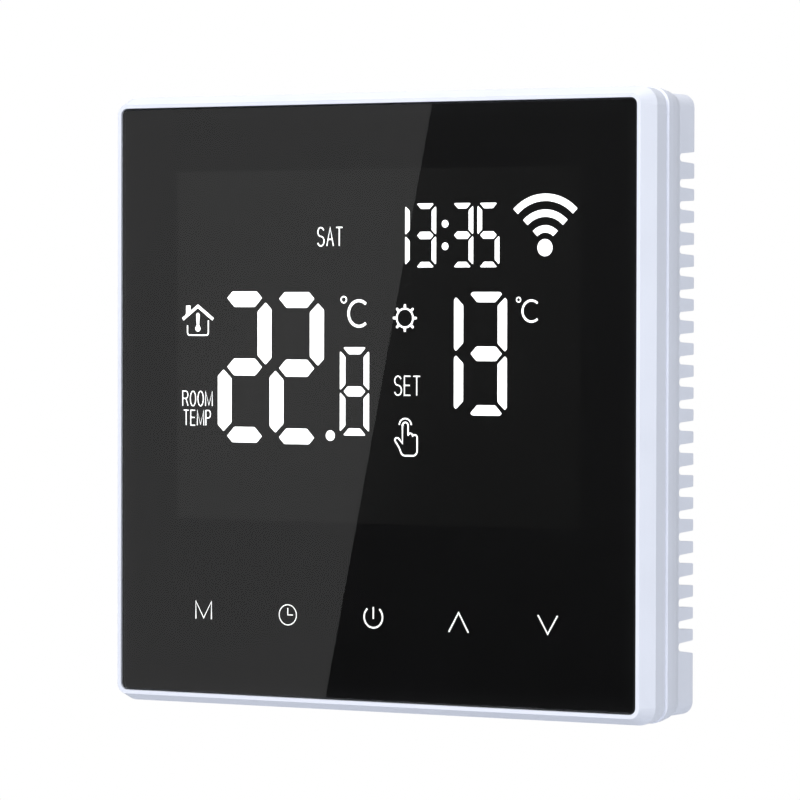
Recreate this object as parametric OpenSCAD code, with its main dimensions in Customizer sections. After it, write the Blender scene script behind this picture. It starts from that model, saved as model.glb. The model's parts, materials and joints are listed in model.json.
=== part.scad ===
// Flush-style wall thermostat: a square glass touch display that plugs onto a
// wall base with a power box behind it.
// +Z is up, +X is to the right and the glass faces -Y.  The origin is on the wall
// plane, midway between the two wall screws.

/* [Face] */
// Width and height of the square face
face_w = 86; // [84:0.5:90]
// Depth of the whole thermostat in front of the wall
body_d = 15.1; // [14.8:0.1:17]
// Depth of the front frame, from the glass back to the parting line
frame_d = 6.2; // [6:0.1:6.4]
// Corner radius of the frame, seen from the front
corner_r = 2.5; // [2:0.1:4]
// Sideways run of the bevel around the glass
bevel_run = 1.05; // [0.5:0.05:1.2]
// Depth of the bevel around the glass
bevel_d = 2.8; // [1.5:0.1:3]

/* [Glass and display] */
// Width and height of the square glass
glass_w = 82.66; // [82:0.02:82.8]
// Thickness of the glass
glass_t = 1.5; // [1.3:0.1:1.5]
// Width of the display window
window_w = 64.8; // [60:0.1:65]
// Height of the display window
window_h = 49.1; // [44:0.1:50]
// Height of the window's middle above the middle of the face
window_z = 7.8; // [6:0.1:9]
// Number of touch keys
key_count = 5; // [3:1:5]
// Distance between touch keys
key_pitch = 13.9; // [12:0.1:14.2]
// Height of the touch keys below the middle of the face
key_drop = 29.9; // [28:0.1:31]

/* [Vents] */
// Number of evenly spaced vent notches on each side
vent_count = 22; // [10:1:22]
// Distance between vent notches
vent_pitch = 3; // [2.5:0.1:3]
// Width of a vent notch at the rear edge
vent_w = 1.45; // [1:0.05:1.6]
// Depth of a vent notch
vent_d = 4.3; // [3:0.1:4.3]
// Height of the lowest vent notch
vent_low = -32.9; // [-34:0.1:-32]

/* [Wall box] */
// Distance between the wall screws
screw_pitch = 60; // [60:0.1:60.5]
// Width of the wall screw slots
slot_w = 4.5; // [3.5:0.1:4.6]
// Length of the wall screw slots
slot_len = 7; // [5:0.1:7]
// Width of the power box
box_w = 46; // [45.5:0.1:46]
// Height of the power box
box_h = 49; // [48.6:0.1:49.4]
// Depth of the power box behind the wall plane
box_d = 27; // [26.8:0.1:30]
// Wall thickness of the power box
box_wall = 1.5; // [1.4:0.1:1.6]

/* [Terminals] */
// Number of wire terminals
way_count = 6; // [2:1:6]
// Distance between terminals
way_pitch = 5.08; // [5:0.01:5.1]
// Travel of a clamp from open to closed
clamp_travel = 2; // [1.5:0.1:2]

/* [Hidden] */

$fn = 48;
eps = 0.01;

// Depth stations, from the glass towards the wall (wall plane at y = 0)
front_y = -body_d;
frame_back = front_y + frame_d;
bevel_back = front_y + bevel_d;
glass_back = front_y + glass_t;
mask_front = glass_back + 0.03;
mask_back = mask_front + 0.08;
tape_back = mask_back + 0.19;
ledge_back = tape_back + 1;
polar_front = glass_back + 0.38;
film_t = 0.2;
lcd_front = polar_front + film_t;
lcd_back = lcd_front + 1.1;
polar_back = lcd_back + film_t;
guide_front = polar_back + film_t + 0.04;
guide_back = guide_front + 1.5;
board_front = guide_back + film_t + 0.2;
board_t = 1.2;
board_back = board_front + board_t;
floor_back = -vent_d - 0.05;
floor_t = 1.25;
floor_front = floor_back - floor_t;
power_board_front = 2.8;
power_board_back = power_board_front + 1.6;
step_back = 12;
box_back = box_d;

// Half sizes across the face
face_r = face_w / 2;
glass_r = glass_w / 2;
pocket_r = glass_r + 0.07;
ledge_r = 38.6;
cavity_r = 41.2;
lip_r = cavity_r - 0.15;
lip_t = 1;
board_r = 39.6;
skirt_inset = 0.67;
skirt_r = face_r - skirt_inset;
skirt_wall = 1.5;
edge_break = 0.4;
frame_draft = 0.15;
window_top = window_z + window_h / 2;
window_low = window_z - window_h / 2;
key_x = [for (i = [0:key_count - 1]) (i - (key_count - 1) / 2) * key_pitch];
key_z = -key_drop;
way_x = [for (i = [0:way_count - 1]) (i - (way_count - 1) / 2) * way_pitch];
screw_spots = [for (sx = [-1, 1], sz = [-1, 1]) [sx * 20, sz * 37.1]];
tab_spots = [for (sx = [-1, 1], sz = [-1, 1]) [sx * 12.5, sz * 27]];
post_spots = [[0, 20.3], [0, -20.6]];
header_count = 8;
header_pitch = 2.54;
header_z = -14;

// Rounded rectangle, centred, exact arcs at the corners
module rounded_rect(w, h, r) {
    square([w - 2 * r, h], center = true);
    square([w, h - 2 * r], center = true);
    for (sx = [-1, 1], sz = [-1, 1])
        translate([sx * (w / 2 - r), sz * (h / 2 - r)])
            circle(r = r);
}

// Lays a flat outline drawn in x and z between two depths
module slab(y0, y1) {
    translate([0, y1, 0])
        rotate([90, 0, 0])
            linear_extrude(y1 - y0)
                children();
}

// Straight box given by its lowest and highest corners
module block(low, high) {
    translate(low)
        cube(high - low);
}

// Round bar along y
module bar_y(x, z, r, y0, y1) {
    translate([x, y0, z])
        rotate([-90, 0, 0])
            cylinder(r = r, h = y1 - y0);
}

// Square block with rounded corners whose edge follows a list of [inset, y] steps
module contoured_block(half, r, steps) {
    last = len(steps) - 1;
    for (turn = [0, 90])
        rotate([0, turn, 0])
            linear_extrude(2 * (half - r), center = true)
                polygon(concat(
                    [for (s = steps) [half - s[0], s[1]]],
                    [for (i = [last:-1:0]) [steps[i][0] - half, steps[i][1]]]));
    for (sx = [-1, 1], sz = [-1, 1])
        translate([sx * (half - r), 0, sz * (half - r)])
            rotate([-90, 0, 0])
                rotate_extrude()
                    polygon(concat(
                        [[0, steps[0][1]]],
                        [for (s = steps) [r - s[0], s[1]]],
                        [[0, steps[last][1]]]));
}

// Box outline with cut corners, shrunk on every side by an inset
module box_outline(inset = 0) {
    x = box_w / 2 - inset;
    z = box_h / 2 - inset;
    cut = 10 - inset * 0.586;
    polygon([[x, z - cut], [x - cut, z], [cut - x, z], [-x, z - cut],
             [-x, cut - z], [cut - x, -z], [x - cut, -z], [x, cut - z]]);
}

// Screw pointing along +y (dir = 1) or -y (dir = -1) from the back of its head
module pan_screw(x, z, y, dir, head_r, head_h, shank_r, shank_len) {
    translate([x, y, z])
        rotate([-90 * dir, 0, 0])
            difference() {
                union() {
                    translate([0, 0, -head_h])
                        cylinder(r = head_r, h = head_h);
                    cylinder(r = shank_r, h = shank_len);
                }
                for (turn = [0, 90])
                    rotate([0, 0, turn])
                        translate([-head_r * 0.65, -head_r * 0.12, -head_h - eps])
                            cube([head_r * 1.3, head_r * 0.24, head_h * 0.55]);
            }
}

// ---- Front unit ---------------------------------------------------------------

module bezel_frame() {
    color("white") {
        difference() {
            contoured_block(face_r, corner_r,
                [[bevel_run, front_y], [0, bevel_back],
                 [frame_draft, frame_back - edge_break], [edge_break, frame_back]]);
            slab(front_y - 1, tape_back)
                rounded_rect(2 * pocket_r, 2 * pocket_r, 1);
            slab(front_y - 1, ledge_back + 1)
                rounded_rect(2 * ledge_r, 2 * ledge_r, 1);
            slab(ledge_back, frame_back + 1)
                rounded_rect(2 * cavity_r, 2 * cavity_r, 1);
        }
        for (spot = screw_spots)
            difference() {
                union() {
                    bar_y(spot[0], spot[1], 1.9, tape_back + 0.3, board_front);
                    boss_web(spot);
                }
                bar_y(spot[0], spot[1], 0.82, ledge_back - 0.6, board_front + 1);
            }
    }
}

// Web between a screw boss and the nearest wall of the frame
module boss_web(spot) {
    near = abs(spot[1]);
    mirror([0, 0, spot[1] < 0 ? 1 : 0])
        block([spot[0] - 0.5, tape_back + 0.3, near], [spot[0] + 0.5, frame_back - 1.7, cavity_r]);
}

module glass_panel() {
    color([0.08, 0.08, 0.09, 0.6])
        contoured_block(glass_r, 0.95,
            [[0.25, front_y], [0, front_y + 0.25], [0, glass_back]]);
}

module glass_mask() {
    color([0.04, 0.04, 0.04])
        slab(mask_front, mask_back)
            difference() {
                rounded_rect(2 * glass_r - 0.4, 2 * glass_r - 0.4, 0.8);
                translate([0, window_z])
                    square([window_w, window_h], center = true);
            }
}

module glass_tape() {
    color([0.1, 0.1, 0.1])
        slab(mask_back, tape_back)
            difference() {
                rounded_rect(2 * glass_r - 0.6, 2 * glass_r - 0.6, 0.8);
                rounded_rect(2 * ledge_r, 2 * ledge_r, 1);
            }
}

module front_polariser() {
    color([0.1, 0.1, 0.11])
        slab(polar_front, lcd_front)
            translate([0, window_z])
                square([window_w + 2.4, window_h + 2.4], center = true);
}

module lcd_cell() {
    color([0.45, 0.5, 0.48]) {
        slab(lcd_front, (lcd_front + lcd_back) / 2)
            translate([0, window_z])
                square([window_w + 4, window_h + 3.2], center = true);
        slab((lcd_front + lcd_back) / 2, lcd_back)
            translate([0, window_z - 0.75])
                square([window_w + 4, window_h + 4.7], center = true);
    }
}

module rear_polariser() {
    color([0.16, 0.16, 0.18])
        slab(lcd_back, polar_back)
            translate([0, window_z])
                square([window_w + 2.4, window_h + 2.4], center = true);
}

module diffuser_film() {
    color([0.95, 0.95, 0.97])
        slab(polar_back + 0.02, polar_back + film_t)
            translate([0, window_z])
                square([window_w + 3, window_h + 2.8], center = true);
}

module light_guide() {
    color([0.8, 0.9, 0.95, 0.7])
        slab(guide_front, guide_back)
            translate([0, window_z])
                rounded_rect(window_w + 3, window_h + 2.8, 0.6);
}

module reflector_film() {
    color([0.98, 0.98, 0.98])
        slab(guide_back + 0.02, guide_back + film_t)
            translate([0, window_z])
                square([window_w + 3, window_h + 2.8], center = true);
}

// White tray that holds the display cell and the light guide together
module backlight_tray() {
    tray_low = window_low - 3.9;
    tray_top = window_top + 2.6;
    color([0.96, 0.96, 0.95])
        difference() {
            block([-window_w / 2 - 3.2, lcd_front + 0.1, tray_low],
                  [window_w / 2 + 3.2, board_front - 0.02, tray_top]);
            slab(lcd_front, polar_back)
                translate([0, window_z - 0.75])
                    square([window_w + 4.4, window_h + 5.1], center = true);
            slab(lcd_front, board_front)
                translate([0, window_z])
                    square([window_w + 3.2, window_h + 3], center = true);
            block([-30, polar_back, tray_low - 1], [30, board_front, window_low - 1.5]);
        }
}

// Strip of light-emitting diodes that shines into the lower edge of the guide
module backlight_leds() {
    strip_z = window_low - 2.6;
    color([0.9, 0.88, 0.6]) {
        block([-26, guide_back - 0.1, strip_z - 0.9], [26, guide_back + 0.15, strip_z + 0.9]);
        for (i = [-2:2])
            block([i * 11 - 1.4, guide_front + 0.15, strip_z - 0.3],
                  [i * 11 + 1.4, guide_back - 0.1, strip_z + 0.9]);
    }
}

// Row of clip pins from the ledge of the display cell to the board
module lcd_pins() {
    pin_z = window_low - 3.25;
    color([0.78, 0.78, 0.8])
        for (i = [-11:11])
            block([i * 2.54 - 0.25, (lcd_front + lcd_back) / 2 - 0.3, pin_z - 1.15],
                  [i * 2.54 + 0.25, board_front - 0.02, pin_z - 0.9]);
}

module display_board() {
    color([0.05, 0.3, 0.16])
        difference() {
            slab(board_front, board_back)
                rounded_rect(2 * board_r, 2 * board_r, 1.5);
            for (spot = screw_spots)
                bar_y(spot[0], spot[1], 1, board_front - 1, board_back + 1);
            for (slot = [[-37.5, -34, -36.6, -28], [-37.5, -29, -30.5, -28]])
                block([slot[0], board_front - 1, slot[1]], [slot[2], board_back + 1, slot[3]]);
            block([-31.4, board_front - 1, -36], [-30.5, board_back + 1, -28]);
        }
}

module board_screws() {
    color([0.75, 0.75, 0.78])
        for (spot = screw_spots)
            pan_screw(spot[0], spot[1], board_back, -1, 1.7, 0.9, 0.8, board_t + 2.1);
}

// One open coil that presses against the back of the glass
module touch_spring(x) {
    turns = 3.5;
    steps = 10;
    sides = 5;
    wire = 0.22;
    rings = turns * steps;
    rise = board_front - mask_back - 2 * wire - 0.06;
    points = [for (i = [0:rings], j = [0:sides - 1])
        let (turn = 360 * i / steps,
             lift = 360 * j / sides,
             out = 2.6 + wire * cos(lift))
        [x + out * cos(turn),
         mask_back + wire + 0.03 + rise * i / rings + wire * sin(lift),
         key_z + out * sin(turn)]];
    faces = concat(
        [[for (j = [0:sides - 1]) j]],
        [[for (j = [sides - 1:-1:0]) rings * sides + j]],
        [for (i = [0:rings - 1], j = [0:sides - 1])
            [i * sides + j, (i + 1) * sides + j, (i + 1) * sides + (j + 1) % sides]],
        [for (i = [0:rings - 1], j = [0:sides - 1])
            [i * sides + j, (i + 1) * sides + (j + 1) % sides, i * sides + (j + 1) % sides]]);
    polyhedron(points, faces);
}

module touch_springs() {
    color([0.8, 0.66, 0.3])
        for (x = key_x)
            touch_spring(x);
}

module key_leds() {
    color([1, 1, 0.9])
        for (x = key_x) {
            block([x - 0.8, board_front - 0.5, key_z - 0.4], [x + 0.8, board_front, key_z + 0.4]);
            block([x - 0.45, board_front - 0.7, key_z - 0.4],
                  [x + 0.45, board_front - 0.5, key_z + 0.4]);
        }
}

module mcu_chip() {
    mid = [-12, 11];
    half = 5;
    color([0.1, 0.1, 0.11]) {
        difference() {
            block([mid[0] - half, board_back + 0.1, mid[1] - half],
                  [mid[0] + half, board_back + 1.5, mid[1] + half]);
            bar_y(mid[0] - half + 1.2, mid[1] + half - 1.2, 0.5,
                  board_back + 1.4, board_back + 2);
        }
        for (side = [0:3], i = [-5.5:1:5.5])
            translate([mid[0], 0, mid[1]])
                rotate([0, 90 * side, 0])
                    block([half - 0.1, board_back + 0.02, i * 0.8 - 0.15],
                          [half + 1, board_back + 0.25, i * 0.8 + 0.15]);
    }
}

module wifi_module() {
    left = 1.5;
    low = -4;
    color([0.7, 0.72, 0.74]) {
        block([left, board_back, low], [left + 16, board_back + 0.8, low + 24]);
        block([left + 1.2, board_back + 0.8, low + 1.2],
              [left + 14.8, board_back + 3, low + 17]);
        for (i = [0:4])
            block([left + 1.5 + i * 3, board_back + 0.8, low + 18.2],
                  [left + 2 + i * 3, board_back + 0.9, low + 22.6]);
        block([left + 1.5, board_back + 0.8, low + 22.6],
              [left + 14, board_back + 0.9, low + 23.2]);
    }
}

module buzzer() {
    color([0.12, 0.12, 0.12])
        difference() {
            bar_y(-15.5, -3.5, 5, board_back, board_back + 3.4);
            bar_y(-15.5, -3.5, 1.1, board_back + 2.4, board_back + 4);
        }
}

module clock_battery() {
    color([0.75, 0.75, 0.73]) {
        bar_y(29, -15, 5.9, board_back + 0.3, board_back + 1.9);
        bar_y(29, -15, 4.9, board_back + 0.15, board_back + 2.05);
        block([27.8, board_back, -15.8], [30.2, board_back + 0.2, -14.2]);
        block([27.8, board_back + 2, -22.4], [30.2, board_back + 2.2, -13]);
        block([27.8, board_back, -22.4], [30.2, board_back + 2.2, -22.2]);
    }
}

module crystal() {
    color([0.8, 0.8, 0.82])
        slab(board_back, board_back + 1.2)
            translate([-24, 11])
                rounded_rect(3.2, 8, 1.5);
}

// Small resistors and capacitors around the larger parts
module board_passives() {
    color([0.55, 0.45, 0.3]) {
        for (i = [0:6])
            block([-30 + i * 3.4, board_back, 24], [-28.4 + i * 3.4, board_back + 0.6, 26.9]);
        for (i = [0:4])
            block([25, board_back, 8 + i * 3], [27, board_back + 0.5, 9.2 + i * 3]);
        for (i = [0:3])
            block([-3.2, board_back, 2 + i * 4], [-1.6, board_back + 0.7, 4.8 + i * 4]);
        for (i = [0:5])
            block([14 + i * 3, board_back, -29], [15.2 + i * 3, board_back + 0.5, -27]);
    }
}

// Bead thermistor on two wires, on the slotted-off corner of the board
module room_sensor() {
    color([0.12, 0.12, 0.13]) {
        translate([-34, board_back + 1, -35.6])
            sphere(r = 0.95);
        for (dx = [-0.5, 0.5])
            translate([-34 + dx, board_back + 1, -35.2])
                cylinder(r = 0.18, h = 4.4);
        for (dx = [-0.5, 0.5])
            bar_y(-34 + dx, -30.9, 0.18, board_back, board_back + 1.1);
    }
}

module header_body() {
    half = header_count * header_pitch / 2;
    color([0.08, 0.08, 0.08])
        difference() {
            block([-half, board_back, header_z - 1.25], [half, board_back + 2.5, header_z + 1.25]);
            for (i = [0:header_count - 1])
                header_slot(i, 0.34, board_back - 1, board_back + 3);
        }
}

// Square prism around one header position
module header_slot(i, half, y0, y1) {
    x = (i - (header_count - 1) / 2) * header_pitch;
    block([x - half, y0, header_z - half], [x + half, y1, header_z + half]);
}

module header_pins() {
    color([0.85, 0.7, 0.3])
        for (i = [0:header_count - 1])
            header_slot(i, 0.32, board_back + 0.02, board_back + 8.4);
}

// ---- Wall base ----------------------------------------------------------------

// Outline of one wall screw slot, grown on every side by a margin
module slot_outline(side, margin) {
    reach = (slot_len - slot_w) / 2;
    r = slot_w / 2 + margin;
    translate([side * screw_pitch / 2, 0]) {
        square([2 * reach, 2 * r], center = true);
        for (s = [-1, 1])
            translate([s * reach, 0])
                circle(r = r);
    }
}

// One notch through two opposite walls, open at the wall plane, with its mouth's corners broken
module vent_notch(x, spread_low = 0, spread_high = 0) {
    root_r = vent_w * 0.38;
    mouth = 0.15;
    reach = 2 * face_r + 2;
    low = x - vent_w / 2 - spread_low;
    high = x + vent_w / 2 + spread_high;
    linear_extrude(reach, center = true)
        polygon([[low - mouth, 1], [low - mouth, 0], [low, -mouth], [x - root_r, root_r - vent_d],
                 [x + root_r, root_r - vent_d], [high, -mouth], [high + mouth, 0], [high + mouth, 1]]);
    translate([x, root_r - vent_d, 0])
        cylinder(r = root_r, h = reach, center = true);
}

// Comb of notches; the two at its ends are spread outwards
module vent_comb() {
    top = vent_low + vent_count * vent_pitch;
    vent_notch(vent_low, spread_low = 0.25);
    for (i = [1:vent_count - 1])
        vent_notch(vent_low + i * vent_pitch);
    vent_notch(top + 0.5, spread_high = 0.1);
}

module base_shell() {
    box_front = box_wall + 0.4;
    color("white") {
        difference() {
            union() {
                contoured_block(face_r, corner_r,
                    [[edge_break, frame_back], [0, frame_back + 0.13], [0.1, frame_back + 1.5],
                     [0.32, frame_back + 3.1], [skirt_inset, floor_back], [skirt_inset, 0]]);
                slab(frame_back - 1.5, frame_back + 1)
                    rounded_rect(2 * lip_r, 2 * lip_r, 0.85);
            }
            slab(frame_back - 2, floor_front)
                rounded_rect(2 * (lip_r - lip_t), 2 * (lip_r - lip_t), 0.8);
            slab(floor_back, 1)
                rounded_rect(2 * (skirt_r - skirt_wall), 2 * (skirt_r - skirt_wall), 1);
            slab(floor_front - 1, floor_back + 1)
                box_outline(box_front);
            for (side = [-1, 1])
                slab(floor_front - 1, floor_back + 1)
                    slot_outline(side, 2);
            // Vents through the left and right walls, then the top and bottom walls
            rotate([0, -90, 0])
                vent_comb();
            vent_comb();
            for (spot = tab_spots)
                bar_y(spot[0], spot[1], 1.12, floor_front - 1, floor_back + 1);
            // Screwdriver slot for prising the front unit off
            block([-4, frame_back - 2, -face_r - 1], [4, frame_back + 1.2, -face_r + 1]);
        }
        for (side = [-1, 1])
            wall_screw_boss(side);
        for (spot = tab_spots)
            difference() {
                bar_y(spot[0], spot[1], 2.4, floor_front - 2.1, floor_front);
                bar_y(spot[0], spot[1], 1.12, floor_front - 3, floor_front + 1);
            }
        for (sx = [-1, 1], sz = [-1, 1])
            block([sx * 34 - 0.6, floor_back, min(sz * 12, sz * 39)],
                  [sx * 34 + 0.6, -1.2, max(sz * 12, sz * 39)]);
    }
}

// Slotted boss that stands on the wall; its head pocket opens to the front
module wall_screw_boss(side) {
    seat = -2.2;
    difference() {
        slab(floor_front, 0)
            slot_outline(side, 3.1);
        slab(floor_front - 1, seat)
            slot_outline(side, 2);
        slab(seat - 1, 1)
            slot_outline(side, 0);
    }
}

module power_box() {
    color([0.93, 0.93, 0.92])
        difference() {
            union() {
                slab(floor_back, box_back)
                    box_outline();
                slab(floor_back, floor_back + 1.5)
                    square([31, 59], center = true);
            }
            // Room in front of the step, then the taller room above it
            slab(floor_back - 1, step_back - box_wall)
                box_outline(box_wall);
            intersection() {
                slab(floor_back - 1, box_back - box_wall)
                    box_outline(box_wall);
                block([-box_w, 0, -7], [box_w, box_back, box_h]);
            }
            // Step that holds the terminal block
            block([-box_w, step_back, -box_h], [box_w, box_back + 1, -8.5]);
            for (x = way_x)
                block([x - 0.9, step_back - 3, -10.9], [x + 0.9, step_back + 1, -9.5]);
            for (spot = tab_spots)
                bar_y(spot[0], spot[1], 1.3, floor_back - 1, floor_back + 3);
            // Cooling slots in the rear wall
            for (i = [-3:3])
                block([i * 4 - 0.7, box_back - 3, 6], [i * 4 + 0.7, box_back + 1, 18]);
        }
    color([0.93, 0.93, 0.92])
        difference() {
            union() {
                bar_y(post_spots[0][0], post_spots[0][1], 2.4, power_board_back, box_back - 1);
                bar_y(post_spots[1][0], post_spots[1][1], 2.4, power_board_back, step_back - 1);
                block([-0.6, power_board_back, 21], [0.6, box_back - 1, box_h / 2 - 1]);
                block([-0.6, power_board_back, 1 - box_h / 2], [0.6, step_back - 1, -21.5]);
            }
            for (spot = post_spots)
                bar_y(spot[0], spot[1], 0.95, power_board_back - 1, power_board_back + 5.5);
        }
}

module box_screws() {
    color([0.75, 0.75, 0.78])
        for (spot = tab_spots)
            pan_screw(spot[0], spot[1], floor_back + 1.5, -1, 2.2, 1.3, 1.1, 4.4);
}

// Insulating lid between the mains parts and the front unit
module inner_cover() {
    front = floor_back + 0.25;
    back = front + 1.2;
    half = header_count * header_pitch / 2 + 0.5;
    color([0.9, 0.9, 0.88])
        difference() {
            union() {
                slab(front, back)
                    box_outline(box_wall + 0.25);
                for (spot = post_spots)
                    bar_y(spot[0], spot[1], 2.4, back - 0.1, power_board_front);
            }
            block([-half, front - 1, header_z - 1.6], [half, back + 1, header_z + 1.6]);
            for (spot = post_spots)
                bar_y(spot[0], spot[1], 1.15, front - 1, power_board_front + 1);
            for (i = [-3:3])
                block([i * 4 - 0.6, front - 1, 3], [i * 4 + 0.6, back + 1, 15]);
        }
}

module cover_screws() {
    front = floor_back + 0.25;
    color([0.75, 0.75, 0.78])
        for (spot = post_spots)
            pan_screw(spot[0], spot[1], front, 1, 2, 1, 0.92,
                      power_board_back + 4 - front);
}

module power_board() {
    color([0.05, 0.3, 0.16])
        difference() {
            slab(power_board_front, power_board_back)
                box_outline(box_wall + 0.3);
            for (spot = post_spots)
                bar_y(spot[0], spot[1], 1.15, power_board_front - 1, power_board_back + 1);
            // Isolation slot between the mains side and the low-voltage side
            block([-15, power_board_front - 1, -8.2], [15, power_board_back + 1, -7.2]);
        }
}

module header_socket() {
    half = header_count * header_pitch / 2;
    color([0.08, 0.08, 0.08])
        difference() {
            block([-half, board_back + 2.7, header_z - 1.25],
                  [half, power_board_front, header_z + 1.25]);
            for (i = [0:header_count - 1])
                header_slot(i, 0.42, board_back, power_board_front - 1);
        }
}

// ---- Relay --------------------------------------------------------------------

relay_low = [-18, power_board_back, 0.5];
relay_high = [1, power_board_back + 15.6, 15.5];
relay_z = (relay_low[2] + relay_high[2]) / 2;
coil_x = -10.6;
yoke_x = -16.6;
hinge_y = power_board_back + 12.3;

module relay_cover() {
    wall = 0.8;
    color([0.15, 0.32, 0.6])
        difference() {
            block([relay_low[0], relay_low[1] + 0.4, relay_low[2]], relay_high);
            block([relay_low[0] + wall, relay_low[1], relay_low[2] + wall],
                  [relay_high[0] - wall, relay_high[1] - wall, relay_high[2] - wall]);
        }
}

module relay_base() {
    color([0.12, 0.12, 0.13])
        block([relay_low[0] + 0.85, relay_low[1], relay_low[2] + 0.85],
              [relay_high[0] - 0.85, relay_low[1] + 1.6, relay_high[2] - 0.85]);
}

module relay_coil() {
    low = relay_low[1] + 2.6;
    high = hinge_y - 1.2;
    color([0.7, 0.35, 0.15]) {
        bar_y(coil_x, relay_z, 3.9, low, high);
        bar_y(coil_x, relay_z, 4.6, low, low + 0.6);
        bar_y(coil_x, relay_z, 4.6, high - 0.6, high);
    }
}

// Steel frame of the magnet with the pole that stands inside the coil
module relay_yoke() {
    low = relay_low[1] + 1.6;
    color([0.7, 0.7, 0.72]) {
        block([yoke_x - 0.5, low, relay_z - 4], [-6, low + 1, relay_z + 4]);
        block([yoke_x - 0.5, low, relay_z - 4], [yoke_x + 0.5, hinge_y - 0.7, relay_z + 4]);
        bar_y(coil_x, relay_z, 1.9, hinge_y - 1.2, hinge_y - 0.95);
    }
}

// Two fixed contacts, one on each side of the moving one
module relay_contacts() {
    low = relay_low[1] + 1.6;
    color([0.85, 0.8, 0.65]) {
        block([-1.6, low, relay_z - 3], [-1.1, hinge_y - 1.9, relay_z + 1]);
        block([-4.2, hinge_y - 2.3, relay_z - 3], [-1.1, hinge_y - 1.9, relay_z + 1]);
        bar_y(-3, relay_z - 1, 0.9, hinge_y - 1.9, hinge_y - 1.4);
        block([-1.6, low, relay_z + 2], [-1.1, hinge_y + 2.1, relay_z + 4]);
        block([-4.2, hinge_y + 1.7, relay_z - 3], [-1.1, hinge_y + 2.1, relay_z + 4]);
        bar_y(-3, relay_z - 1, 0.9, hinge_y + 1.1, hinge_y + 1.7);
    }
}

// Hinged plate with the contact spring and the moving contact on its end
module relay_armature() {
    color([0.78, 0.78, 0.8]) {
        block([yoke_x - 0.4, hinge_y - 0.3, relay_z - 3.8], [-6.6, hinge_y + 0.5, relay_z + 3.8]);
        block([-12, hinge_y + 0.5, relay_z - 2.2], [-1.9, hinge_y + 0.75, relay_z + 0.2]);
        bar_y(-3, relay_z - 1, 0.9, hinge_y + 0.1, hinge_y + 1);
    }
}

// ---- Mains parts --------------------------------------------------------------

trafo_mid = [10.2, 8.4];

module transformer_core() {
    low = power_board_back + 1.5;
    color([0.2, 0.2, 0.21])
        difference() {
            block([trafo_mid[0] - 7, low, trafo_mid[1] - 3.2],
                  [trafo_mid[0] + 7, low + 12.4, trafo_mid[1] + 3.2]);
            for (side = [-1, 1])
                translate([trafo_mid[0] + side * 3.9, 0, 0])
                    block([-1.9, low + 2, trafo_mid[1] - 5], [1.9, low + 10.4, trafo_mid[1] + 5]);
        }
}

module transformer_winding() {
    low = power_board_back + 1.5;
    color([0.85, 0.75, 0.2])
        difference() {
            union() {
                slab(low + 2.2, low + 10.2)
                    translate(trafo_mid)
                        rounded_rect(11.2, 13, 1.6);
                block([trafo_mid[0] - 5.5, power_board_back, trafo_mid[1] - 7.2],
                      [trafo_mid[0] + 5.5, low + 3, trafo_mid[1] - 5.2]);
                block([trafo_mid[0] - 5.5, power_board_back, trafo_mid[1] + 5.2],
                      [trafo_mid[0] + 5.5, low + 3, trafo_mid[1] + 7.2]);
            }
            // Room for the middle leg of the core
            block([trafo_mid[0] - 2.1, low - 2, trafo_mid[1] - 3.4],
                  [trafo_mid[0] + 2.1, low + 14, trafo_mid[1] + 3.4]);
        }
}

module safety_capacitor() {
    color([0.85, 0.7, 0.15])
        block([-17.5, power_board_back + 0.3, -6.2], [-5, power_board_back + 11.5, -0.8]);
}

module smoothing_capacitors() {
    color([0.12, 0.12, 0.2])
        for (spot = [[6.4, -2.9, 3.9, 12.5], [14.8, -3.2, 3.1, 11]]) {
            bar_y(spot[0], spot[1], spot[2], power_board_back, power_board_back + spot[3] - 1.4);
            bar_y(spot[0], spot[1], spot[2] - 0.3,
                  power_board_back + spot[3] - 1.4, power_board_back + spot[3] - 0.9);
            bar_y(spot[0], spot[1], spot[2],
                  power_board_back + spot[3] - 0.9, power_board_back + spot[3]);
        }
}

module varistor() {
    color([0.2, 0.45, 0.7]) {
        translate([-1, power_board_back + 5.2, -3.4])
            cylinder(r = 3.2, h = 2.8, center = true);
        for (side = [-1, 1])
            bar_y(-1 + side * 1.6, -3.4 + side * 0.6, 0.3,
                  power_board_back, power_board_back + 3.5);
    }
}

// Glass fuse in two clips
module fuse() {
    y = power_board_back + 3;
    z = -15.6;
    color([0.8, 0.8, 0.78]) {
        translate([-10, y, z])
            rotate([0, 90, 0])
                cylinder(r = 2.1, h = 20);
        for (x = [-10, 5]) {
            translate([x, y, z])
                rotate([0, 90, 0])
                    cylinder(r = 2.5, h = 5);
            block([x + 1, power_board_back, z - 2.5], [x + 4, y, z + 2.5]);
        }
    }
}

// ---- Terminals ----------------------------------------------------------------

block_back = 24.6;
ledge_low = 20.9;
ledge_high = 21.5;
clamp_low = 13.2;
clamp_h = 5.5;
clamp_z = -14.6;
clamp_half_z = 2.4;
bar_y0 = 16.2;
bar_y1 = 16.9;

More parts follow.
